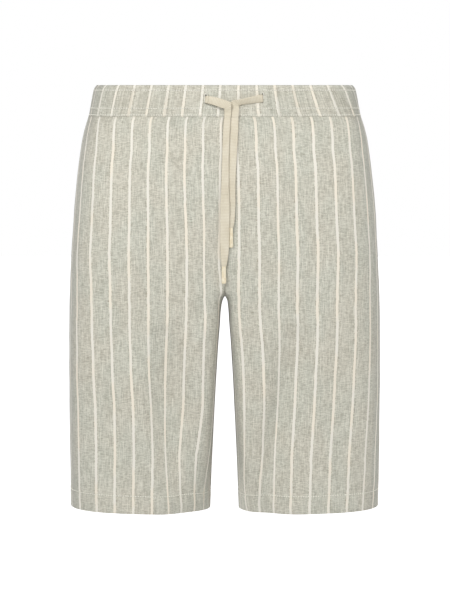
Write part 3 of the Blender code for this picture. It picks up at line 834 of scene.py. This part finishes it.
# Where the band's stripes lie, at two heights: the one nearest the middle, and the ease on each side
BandLay = namedtuple("BandLay", "z first right_ease left_ease")
BAND_LAYS = [BandLay(0.013, -0.0062, 1.11, 1.045), BandLay(-0.012, -0.0082, 1.08, 0.96)]


def smooth_run(rows, steps):
    """Points on a smooth curve through the rows, steps of them from each row to the next."""
    table = np.array(rows, float)
    padded = np.vstack([2 * table[0] - table[1], table, 2 * table[-1] - table[-2]])
    found = []
    for before, start, end, after in zip(padded, padded[1:], padded[2:], padded[3:]):
        for t in np.arange(steps) / steps:
            found.append(
                start
                + 0.5 * t * (end - before)
                + t * t * (before - 2.5 * start + 2 * end - 0.5 * after)
                + t**3 * (1.5 * (start - end) + 0.5 * (after - before))
            )
    return np.array([*found, table[-1]])


def band_across(arcs, z):
    """The place across the uncut cloth of points on the band, with arcs counted from the middle."""
    high, low = BAND_LAYS
    share = (z - low.z) / (high.z - low.z)
    first, right, left = (low[k] + (high[k] - low[k]) * share for k in (1, 2, 3))
    return (arcs - first) * np.where(arcs < first, right, left)


band_rows = {}
for name, back in (("front", False), ("back", True)):
    profile = smooth_run(BAND_SECTION, SECTION_STEPS)
    shares = np.linspace(-1, 1, 2 * BAND_COLUMNS + 1)
    points = np.zeros((len(shares), len(profile), 3))
    place = np.zeros((len(shares), len(profile), 2))
    length_down = run_lengths(profile)
    outlines = [np.vstack(half_outline(z, back)) for _, z in profile]
    for j, (inset, z) in enumerate(profile):
        for i, share in enumerate(shares):
            x, depth, length = along(outlines[j], abs(share))
            points[i, j] = math.copysign(x, share) * (share != 0), depth if back else -depth, z
            arc = share * length
            place[i, j] = (arc * BACK_EASE if back else band_across(arc, z)), -length_down[j]
    around = points[:, OUTER_ROWS // 2]
    heading = np.gradient(around, axis=0)
    outward = np.stack([-heading[:, 1], heading[:, 0], np.zeros(len(shares))], axis=1)
    outward /= np.linalg.norm(outward, axis=1, keepdims=True)
    if np.sum(outward * around) < 0:
        outward = -outward
    inset = np.repeat(profile[None, :, 0], len(shares), axis=0)
    z = points[..., 2]
    outer_face = step_up(BAND_WALL * 0.55 - inset, 0, 0.0008)
    ripple = unevenness(points * RIPPLE_DRAWN_OUT, RIPPLES, 4.0)
    fine = unevenness(points * FINE_DRAWN_OUT, FINE_RIPPLES, 9.0)
    near_tapes = step_up(abs(points[..., 0]), 0.030, 0.060) if not back else 1.0
    swell = near_tapes * (RIPPLE_HEIGHT[name] * ripple + FINE_RIPPLE_HEIGHT * fine)
    for row in STITCH_ROWS:
        swell = swell * (1 - 0.7 * bell(z - row, 0.0018))
        swell -= STITCH_DIP * bell(z - row, STITCH_DIP_WIDTH)
    inner_swell = INNER_RIPPLE_HEIGHT * ripple * step_up(inset, 0.002, BAND_WALL)
    inset = inset - swell * outer_face + inner_swell * (1 - outer_face)
    points -= outward[:, None, :] * inset[..., None]
    place[..., 0] += BAND_PLACE[name]
    facing = outward[:, None, :] * np.where(inset < BAND_WALL / 2, 1, -1)[..., None]
    seam = 0.1 * bell(z - WAIST_SEAM, 0.0007)
    # The band's pleats, painted in shade and sunk, grow stronger towards its ends
    gathered = outer_face * near_tapes * (0.7 + 0.3 * step_up(abs(points[..., 0]), 0.060, 0.150))
    piece = grid_object(f"cloth_waistband_{name}", points, facing, place, seam, gathered, ring=True)
    make_cloth(piece)
    piece.data.materials.append(striped_cloth)
    band_rows[name] = points, outward, profile, piece
    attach(piece, "root")
    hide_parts(f"waistband_{name}")


# Buttonholes
# Two upright slits in the front of the casing, bound all round with close satin stitches.

Buttonhole = namedtuple("Buttonhole", "x z")
RIGHT_HOLE = Buttonhole(-0.0231, 0.0017)
LEFT_HOLE = Buttonhole(0.0450, 0.0030)
HOLE_WIDTH = 0.0016
HOLE_HEIGHT = 0.0112
CUT_DEPTH = 0.0040
BINDING_COUNT = 15
BINDING_BESIDE = 0.0006
BINDING_PROUD = 0.0001
BINDING = {"length": 0.0016, "width": 0.0008, "proud": 0.00028}
BAR_COUNT = 4
BAR_PITCH = 0.0011
BAR_BEYOND = 0.0007
BAR = {"length": 0.0016, "width": 0.0009, "proud": 0.00030}
FORWARD = (0, -1, 0)


def joined(name, shapes):
    """One mesh from many small ones, each given as points and faces."""
    points, faces = [], []
    for some, sides in shapes:
        start = len(points)
        points += list(some)
        faces += [tuple(start + k for k in side) for side in sides]
    made = add_mesh(name, points, faces)
    made.data.shade_smooth()
    return made


def stitch(middle, heading, outward, length, width, proud):
    """One stitch: a plump lozenge of thread that dips into the cloth at both ends."""
    heading = np.asarray(heading) / np.linalg.norm(heading)
    outward = np.asarray(outward) / np.linalg.norm(outward)
    aside = np.cross(outward, heading)
    middle = np.asarray(middle)
    points = []
    for at, fat, rise in ((-0.5, 0.25, -0.6), (-0.25, 1.0, 0.7), (0.25, 1.0, 0.7), (0.5, 0.25, -0.6)):
        ring = middle + heading * at * length + outward * proud * rise
        half = width / 2 * fat
        points += [
            ring + aside * half,
            ring + outward * proud * 0.5 * fat,
            ring - aside * half,
            ring - outward * proud * 0.6 * fat,
        ]
    return points, [(3, 2, 1, 0), (12, 13, 14, 15), *net_faces(4, 4)]


points, outward, profile, band = band_rows["front"]
thread, nodes, shader = new_material("topstitch_thread", roughness=0.7, specular=0.3)
twist = nodes.map(nodes.speckle(900), 0.3, 0.7)
nodes.join(nodes.mix(twist, linear(234, 232, 220), linear(248, 246, 236)), shader["Base Color"])
for name, hole in (("right", RIGHT_HOLE), ("left", LEFT_HOLE)):
    row = np.argmin(abs(profile[:OUTER_ROWS, 1] - hole.z))
    column = np.argmin(abs(points[:, row, 0] - hole.x))
    front = points[column, row, 1]
    bpy.ops.object.select_all(action="DESELECT")
    bpy.ops.mesh.primitive_cube_add(size=1, location=(hole.x, front, hole.z))
    cutter = bpy.context.object
    cutter.scale = (HOLE_WIDTH, CUT_DEPTH, HOLE_HEIGHT)
    bpy.ops.object.transform_apply(location=False, rotation=False)
    cut = band.modifiers.new("slit", "BOOLEAN")
    cut.solver = "EXACT"
    cut.object = cutter
    apply_all(band)
    bpy.data.objects.remove(cutter)
    y = front - BINDING_PROUD
    shapes = []
    for k in range(BINDING_COUNT):
        z = hole.z + HOLE_HEIGHT * (k / (BINDING_COUNT - 1) - 0.5)
        for aside in (-1, 1):
            x = hole.x + aside * (HOLE_WIDTH / 2 + BINDING_BESIDE)
            shapes.append(stitch((x, y, z), (1, 0, 0.08 * aside), FORWARD, **BINDING))
    for end in (-1, 1):
        z = hole.z + end * (HOLE_HEIGHT / 2 + BAR_BEYOND)
        for k in range(BAR_COUNT):
            x = hole.x + BAR_PITCH * (k - (BAR_COUNT - 1) / 2)
            shapes.append(stitch((x, y, z), (0.05, 0, 1), FORWARD, **BAR))
    piece = joined(f"buttonhole_binding_{name}", shapes)
    piece.data.materials.append(thread)
    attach(piece, "root")


# Topstitching
# Rows of lockstitch in a pale thread: three round the waistband and one round each hem, each stitch drawn
# a little into the cloth.

STITCH_PITCH = 0.0030
TOPSTITCH = {"length": 0.0025, "width": 0.0011, "proud": 0.00040}
TOPSTITCH_RAISED = 0.00014


def stitch_row(path, outwards, closed):
    """Stitches at an even pitch along a path of points on the cloth."""
    path, outwards = np.asarray(path), np.asarray(outwards)
    if closed:
        path, outwards = np.vstack([path, path[:1]]), np.vstack([outwards, outwards[:1]])
    length = run_lengths(path)
    count = int(length[-1] / STITCH_PITCH)
    shapes = []
    for k in range(count):
        at = [(k + offset) / count * length[-1] for offset in (0.25, 0.5, 0.75)]
        low, middle, high = np.array([np.interp(at, length, column) for column in path.T]).T
        out = np.array([np.interp(at[1], length, column) for column in outwards.T])
        shapes.append(stitch(middle + out * TOPSTITCH_RAISED, high - low, out, **TOPSTITCH))
    return shapes


for name, (points, outward, profile, band) in band_rows.items():
    shapes = []
    for height in STITCH_ROWS:
        row = np.argmin(abs(profile[:OUTER_ROWS, 1] - height))
        shapes += stitch_row(points[:, row], outward, closed=False)
    piece = joined(f"topstitch_waistband_{name}", shapes)
    piece.data.materials.append(thread)
    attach(piece, "root")
for wearer in ("right", "left"):
    row = -ROW_STEPS - 1
    ring = []
    for front, back in zip(grids[f"front_{wearer}"], grids[f"back_{wearer}"]):
        ring.append(np.concatenate([front[row, :-1], back[row, :0:-1]]))
    piece = joined(f"topstitch_hem_{wearer}", stitch_row(ring[0], ring[1], closed=True))
    piece.data.materials.append(thread)
    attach(piece, "root")


# Drawstring
# One flat cream tape with close cross ribs runs through the casing. Its two ends come out of the
# buttonholes, meet at the middle, turn down and hang, partly folded lengthwise where they show narrow.

TAPE_WIDTH = 0.0110
TAPE_THICKNESS = 0.0007
FOLD_RADIUS = 0.00045
RIB_PITCH = 0.0018
RIB_DEPTH = 0.30
EDGE_THINNING = 0.45
STATION_STEPS = 8
# Each end's way, with the columns x, z, turn, width, lift, bow and tilt: turn is its heading in degrees,
# width what shows of it, lift its height over the cloth, bow and tilt how its section curves and leans
RIGHT_TAPE = [
    (RIGHT_HOLE.x, 0.0017, -3, 0.0086, -0.0016, 0.0000, 0.00),
    (RIGHT_HOLE.x, 0.0017, -5, 0.0086, 0.0003, 0.0000, 0.00),
    (-0.0222, 0.0016, -7, 0.0087, 0.0031, 0.0004, 0.00),
    (-0.0201, 0.0013, -9, 0.0090, 0.0017, 0.0004, 0.06),
    (-0.0165, 0.0006, -12, 0.0095, 0.0020, 0.0004, 0.10),
    (-0.0100, -0.0012, -15, 0.0102, 0.0028, 0.0004, 0.14),
    (-0.0045, -0.0029, -19, 0.0104, 0.0034, 0.0004, 0.14),
    (-0.0001, -0.0046, -31, 0.0106, 0.0037, 0.0003, 0.10),
    (0.0028, -0.0056, -48, 0.0108, 0.0038, 0.0003, 0.04),
    (0.0033, -0.0085, -68, 0.0092, 0.0037, 0.0003, 0.00),
    (0.0034, -0.0130, -86, 0.0081, 0.0022, 0.0002, -0.04),
    (0.0031, -0.0180, -89, 0.0077, 0.0022, 0.0002, -0.04),
    (0.0024, -0.0270, -93, 0.0077, 0.0022, 0.0002, -0.04),
    (0.0017, -0.0380, -93, 0.0077, 0.0022, 0.0002, -0.04),
    (0.0009, -0.0560, -92, 0.0078, 0.0022, 0.0002, -0.04),
    (0.0004, -0.0760, -91, 0.0081, 0.0022, 0.0002, -0.04),
    (0.0001, -0.0960, -90, 0.0087, 0.0022, 0.0002, -0.04),
    (-0.0002, -0.1100, -90, 0.0094, 0.0027, 0.0002, -0.04),
    (-0.0002, -0.1240, -90, TAPE_WIDTH, 0.0032, 0.0003, 0.00),
    (-0.0003, -0.1450, -91, TAPE_WIDTH, 0.0036, 0.0003, 0.00),
    (-0.0005, -0.1640, -91, 0.0107, 0.0037, 0.0003, 0.00),
    (-0.0007, -0.1790, -91, 0.0104, 0.0036, 0.0003, 0.00),
    (-0.0009, -0.1890, -92, 0.0086, 0.0034, 0.0003, 0.00),
    (-0.0011, -0.1960, -92, 0.0064, 0.0032, 0.0003, 0.00),
    (-0.0012, -0.1990, -92, 0.0054, 0.0031, 0.0003, 0.00),
]
LEFT_TAPE = [
    (LEFT_HOLE.x, 0.0030, 3, 0.0088, -0.0016, 0.0000, 0.00),
    (LEFT_HOLE.x, 0.0030, 4, 0.0088, 0.0003, 0.0000, 0.00),
    (0.0441, 0.0029, 5, 0.0090, 0.0014, 0.0004, -0.06),
    (0.0421, 0.0027, 6, 0.0090, 0.0016, 0.0004, -0.16),
    (0.0385, 0.0021, 9, 0.0088, 0.0020, 0.0004, -0.32),
    (0.0325, 0.0010, 11, 0.0082, 0.0024, 0.0004, -0.42),
    (0.0265, 0.0000, 12, 0.0074, 0.0026, 0.0004, -0.46),
    (0.0210, -0.0010, 17, 0.0070, 0.0026, 0.0004, -0.44),
    (0.0165, -0.0020, 32, 0.0080, 0.0023, 0.0004, -0.30),
    (0.0125, -0.0034, 55, TAPE_WIDTH, 0.0017, 0.0004, -0.10),
    (0.0114, -0.0075, 78, TAPE_WIDTH, 0.0013, 0.0003, 0.08),
    (0.0111, -0.0130, 88, TAPE_WIDTH, 0.0012, 0.0003, 0.07),
    (0.0107, -0.0230, 93, TAPE_WIDTH, 0.0012, 0.0003, 0.07),
    (0.0103, -0.0360, 93, TAPE_WIDTH, 0.0012, 0.0003, 0.07),
    (0.0096, -0.0480, 94, TAPE_WIDTH, 0.0012, 0.0003, 0.07),
    (0.0084, -0.0680, 93, TAPE_WIDTH, 0.0012, 0.0003, 0.07),
    (0.0073, -0.0880, 92, TAPE_WIDTH, 0.0012, 0.0003, 0.07),
    (0.0069, -0.1060, 91, TAPE_WIDTH, 0.0012, 0.0003, 0.07),
    (0.0069, -0.1240, 90, TAPE_WIDTH, 0.0012, 0.0003, 0.07),
    (0.0069, -0.1370, 90, 0.0098, 0.0011, 0.0003, 0.08),
    (0.0069, -0.1450, 90, 0.0082, 0.0013, 0.0003, 0.00),
    (0.0069, -0.1500, 90, 0.0064, 0.0015, 0.0003, 0.00),
    (0.0069, -0.1526, 90, 0.0054, 0.0016, 0.0003, 0.00),
]


def front_depth(x, z):
    """How far forward the cloth is at a place near the middle of the front."""
    run = half_outline(z, False)[0]
    proud = 0.0006 if z > WAIST_SEAM else 0.0
    return np.interp(abs(x), run[:, 0], run[:, 1]) + proud


def hanging_depth(x, z):
    """A tape lies on the furthest forward cloth above it, and hangs straight down from there."""
    heights = np.arange(z, RIGHT_HOLE.z, 0.004)
    return max(front_depth(x, height) for height in [z, *heights])


def tape_section(width, bow, tilt):
    """The tape across its width as (across, through), bowed forward along its middle, tilted, and folded
    under at its far side where it shows narrow."""
    share = np.linspace(0, 1, 19)
    under = TAPE_WIDTH - (width - FOLD_RADIUS) - math.pi * FOLD_RADIUS
    if under < 0.0004:
        line = np.column_stack([(share - 0.5) * width, np.zeros(len(share))])
    else:
        flat = width - FOLD_RADIUS
        at = share * TAPE_WIDTH
        bend = np.clip((at - flat) / FOLD_RADIUS, 0, math.pi)
        across = np.minimum(at, flat) - width / 2 + FOLD_RADIUS * np.sin(bend)
        across -= np.maximum(at - flat - math.pi * FOLD_RADIUS, 0)
        line = np.column_stack([across, FOLD_RADIUS * np.cos(bend)])
    line[:, 1] += bow * (1 - np.clip(2 * abs(line[:, 0]) / width, 0, 1) ** 1.5)
    line[:, 0] *= -1
    line[:, 1] -= tilt * line[:, 0]
    return line


def add_tape(name, stations):
    """The tape's mesh, with ribs across it, and the line that it follows."""
    rough = smooth_run(stations, STATION_STEPS)
    middles = np.array([(s[0], -hanging_depth(s[0], s[1]) - s[4], s[1]) for s in rough])
    length = run_lengths(middles)
    places = np.arange(0, length[-1], RIB_PITCH / 4)
    middles = np.array([np.interp(places, length, middles[:, k]) for k in range(3)]).T
    for _ in range(3):
        middles[1:-1] = (middles[:-2] + 2 * middles[1:-1] + middles[2:]) / 4
    turns = np.radians(np.interp(places, length, rough[:, 2]))
    sections = np.array([np.interp(places, length, rough[:, k]) for k in (3, 5, 6)]).T
    headings = np.gradient(middles, axis=0)
    points, place = [], []
    for at, middle, turn, section, heading in zip(places, middles, turns, sections, headings):
        across = np.array([-math.sin(turn), 0, math.cos(turn)])
        through = np.cross(heading, across)
        through /= np.linalg.norm(through)
        if through[1] > 0:
            through = -through
        rib = 1 + RIB_DEPTH * math.cos(2 * math.pi * at / RIB_PITCH)
        line = tape_section(*section)
        side = np.gradient(line, axis=0)
        side /= np.linalg.norm(side, axis=1, keepdims=True)
        normal = np.column_stack([-side[:, 1], side[:, 0]])
        thick = np.full(len(line), TAPE_THICKNESS / 2 * rib)
        thick[[0, -1]] *= EDGE_THINNING
        upper, lower = line + normal * thick[:, None], line - normal * thick[:, None]
        for a, b in np.vstack([upper, lower[::-1]]):
            points.append(middle + across * a + through * b)
        share = np.linspace(0, TAPE_WIDTH, len(line))
        place += [(s, at) for s in np.concatenate([share, share[::-1]])]
    size = 2 * len(line)
    faces = net_faces(len(places), size)
    for start in (0, (len(places) - 1) * size):
        for k in range(len(line) - 1):
            faces.append((start + k, start + k + 1, start + size - 2 - k, start + size - 1 - k))
    made = add_mesh(name, points, faces, place)
    shell = bmesh.new()
    shell.from_mesh(made.data)
    bmesh.ops.recalc_face_normals(shell, faces=shell.faces)
    shell.to_mesh(made.data)
    shell.free()
    made.data.shade_smooth()
    return made, middles


ribbed_tape, nodes, shader = new_material("ribbed_tape", roughness=0.8, specular=0.3, sheen=0.1)
place = nodes.cloth_place()
rib = nodes.math("COSINE", nodes.times(place[1], 2 * math.pi / RIB_PITCH))
threads = nodes.noise(place, 2600, 500, 1.7, 1.0)
drift = nodes.noise(place, 60, 40, 6.1, 2.0)
color = nodes.mix(nodes.map(drift, 0.35, 0.65), linear(211, 203, 182), linear(219, 212, 193))
color = nodes.tint(color, nodes.map(threads, 0.4, 0.7), 0.25, linear(234, 229, 215))
# Painted shade: the colour darkens in the troughs between the cross ribs
color = nodes.tint(color, nodes.map(rib, -0.3, -1.0), 0.42, linear(176, 156, 124))
nodes.join(color, shader["Base Color"])
nodes.bump(shader, threads, 0.4, 0.0002)

tapes = {}
for wearer, stations in (("right", RIGHT_TAPE), ("left", LEFT_TAPE)):
    tape, route = add_tape(f"tape_{wearer}", stations)
    tape.data.materials.append(ribbed_tape)
    tapes[wearer] = tape, route
    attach(tape, "root")
    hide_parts(f"drawstring_{wearer}")


# Wrapped tips
# Each end of the tape is pressed narrow and wound with a waxed cream thread, so that it can't fray.

Tip = namedtuple("Tip", "x top_z low_z lift")
RIGHT_TIP = Tip(-0.0015, -0.1990, -0.2199, 0.0031)
LEFT_TIP = Tip(0.0069, -0.1526, -0.1767, 0.0016)
TIP_WIDTH = 0.0056
TIP_THICKNESS = 0.0025
TIP_SIDES = 24
TIP_PROFILE = [
    (0.0, 0.70),
    (0.02, 0.86),
    (0.06, 0.90),
    (0.35, 0.92),
    (0.85, 1.0),
    (0.95, 0.96),
    (0.985, 0.80),
    (1.0, 0.5),
]
WINDING_PITCH = 0.0007

tip_wrap, nodes, shader = new_material("tip_wrap", roughness=0.5, specular=0.4)
height = nodes.parts(nodes.object_place())[2]
winding = nodes.math("SINE", nodes.times(height, 2 * math.pi / WINDING_PITCH))
wax = nodes.map(nodes.speckle(260), 0.35, 0.65)
color = nodes.mix(wax, linear(230, 217, 186), linear(241, 232, 208))
# Painted shade: the colour darkens in the grooves between the turns of thread
color = nodes.tint(color, nodes.map(winding, -0.2, -1.0), 0.25, linear(188, 166, 120))
nodes.join(color, shader["Base Color"])
nodes.bump(shader, winding, 0.5, 0.0001)

for wearer, tip in (("right", RIGHT_TIP), ("left", LEFT_TIP)):
    middle_y = -hanging_depth(tip.x, tip.top_z) - tip.lift
    rows = smooth_run(TIP_PROFILE, 3)
    points = []
    for down, size in rows:
        z = tip.top_z + down * (tip.low_z - tip.top_z)
        for k in range(TIP_SIDES):
            angle = 2 * math.pi * k / TIP_SIDES
            x = tip.x + math.cos(angle) * size * TIP_WIDTH / 2
            points.append((x, middle_y + math.sin(angle) * size * TIP_THICKNESS / 2, z))
    faces = [face[::-1] for face in net_faces(len(rows), TIP_SIDES)]
    faces += [tuple(range(TIP_SIDES)), tuple(reversed(range(len(points) - TIP_SIDES, len(points))))]
    piece = joined(f"wrapped_tip_{wearer}", [(points, faces)])
    piece.data.set_sharp_from_angle(angle=math.radians(60))
    piece.data.materials.append(tip_wrap)
    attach(piece, "root")
    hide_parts(f"tip_{wearer}")
    tape, route = tapes[wearer]


# Studio
# A pale floor far enough below that the shorts cast no edge on it, white all round, and five soft lights:
# a strong one at the front left, weaker ones at the front right and the right side, and two behind. The
# camera stands straight ahead at the height of the waist.

FLOOR_HEIGHT = -0.9
SURROUND_LIGHT = 0.28
SOFTBOX_SIZE = 1.2
SOFTBOX_AIM = (0, 0, -0.2)
CAMERA_DISTANCE = 4.5
CAMERA_TURN = math.radians(-0.4)
MIDDLE_OF_VIEW = (0.0006, 0, -0.2465)
VIEW_WIDTH = 0.741
SENSOR_WIDTH = 36


def aim(thing, target):
    """Turns a light or the camera towards a point."""
    thing.rotation_euler = (Vector(target) - thing.location).to_track_quat("-Z", "Y").to_euler()


bpy.ops.object.select_all(action="DESELECT")
bpy.ops.mesh.primitive_plane_add(size=30, location=(0, 0, FLOOR_HEIGHT))
floor = bpy.context.object
floor.name = "floor"
pale, nodes, shader = new_material("pale_floor", roughness=1.0, specular=0.0)
shader["Base Color"].default_value = (0.9, 0.9, 0.9, 1)
shader["Emission Color"].default_value = (1, 1, 1, 1)
nodes.join(nodes.add("ShaderNodeLightPath").outputs["Is Camera Ray"], shader["Emission Strength"])
floor.data.materials.append(pale)

world = bpy.data.worlds.new("white_surround")
bpy.context.scene.world = world
world.use_nodes = True
world.node_tree.nodes.clear()
nodes = Nodes(world.node_tree)
seen = nodes.add("ShaderNodeLightPath").outputs["Is Camera Ray"]
lit, bright = (
    nodes.add("ShaderNodeBackground", {"Color": (1, 1, 1, 1), "Strength": strength}).outputs[0]
    for strength in (SURROUND_LIGHT, 1.0)
)
surround = nodes.add("ShaderNodeMixShader", enumerate((seen, lit, bright)))
nodes.add("ShaderNodeOutputWorld", {0: surround.outputs[0]})

for name, place, power in (
    ("softbox_front_left", (-0.95, -1.35, 0.80), 24.2),
    ("softbox_front_right", (1.10, -1.30, 0.80), 10.3),
    ("softbox_side_right", (1.45, -0.45, 0.50), 6.2),
    ("softbox_back_left", (-1.00, 1.50, 0.50), 11.0),
    ("softbox_back_right", (1.00, 1.50, 0.50), 12.0),
):
    light = bpy.data.lights.new(name, "AREA")
    light.shape = "RECTANGLE"
    light.size = light.size_y = SOFTBOX_SIZE
    light.energy = power
    softbox = new_object(name, light)
    softbox.location = place
    softbox.visible_camera = False
    aim(softbox, SOFTBOX_AIM)

camera = new_object("camera", bpy.data.cameras.new("camera"))
straight_ahead = Vector((math.sin(CAMERA_TURN), -math.cos(CAMERA_TURN), 0)) * CAMERA_DISTANCE
camera.location = straight_ahead + Vector((0, 0, WAIST_TOP))
aim(camera, MIDDLE_OF_VIEW)
camera.data.sensor_width = SENSOR_WIDTH
camera.data.lens = SENSOR_WIDTH * CAMERA_DISTANCE / VIEW_WIDTH
camera.data.clip_end = 100
bpy.context.scene.camera = camera
bpy.context.scene.view_settings.view_transform = "Standard"
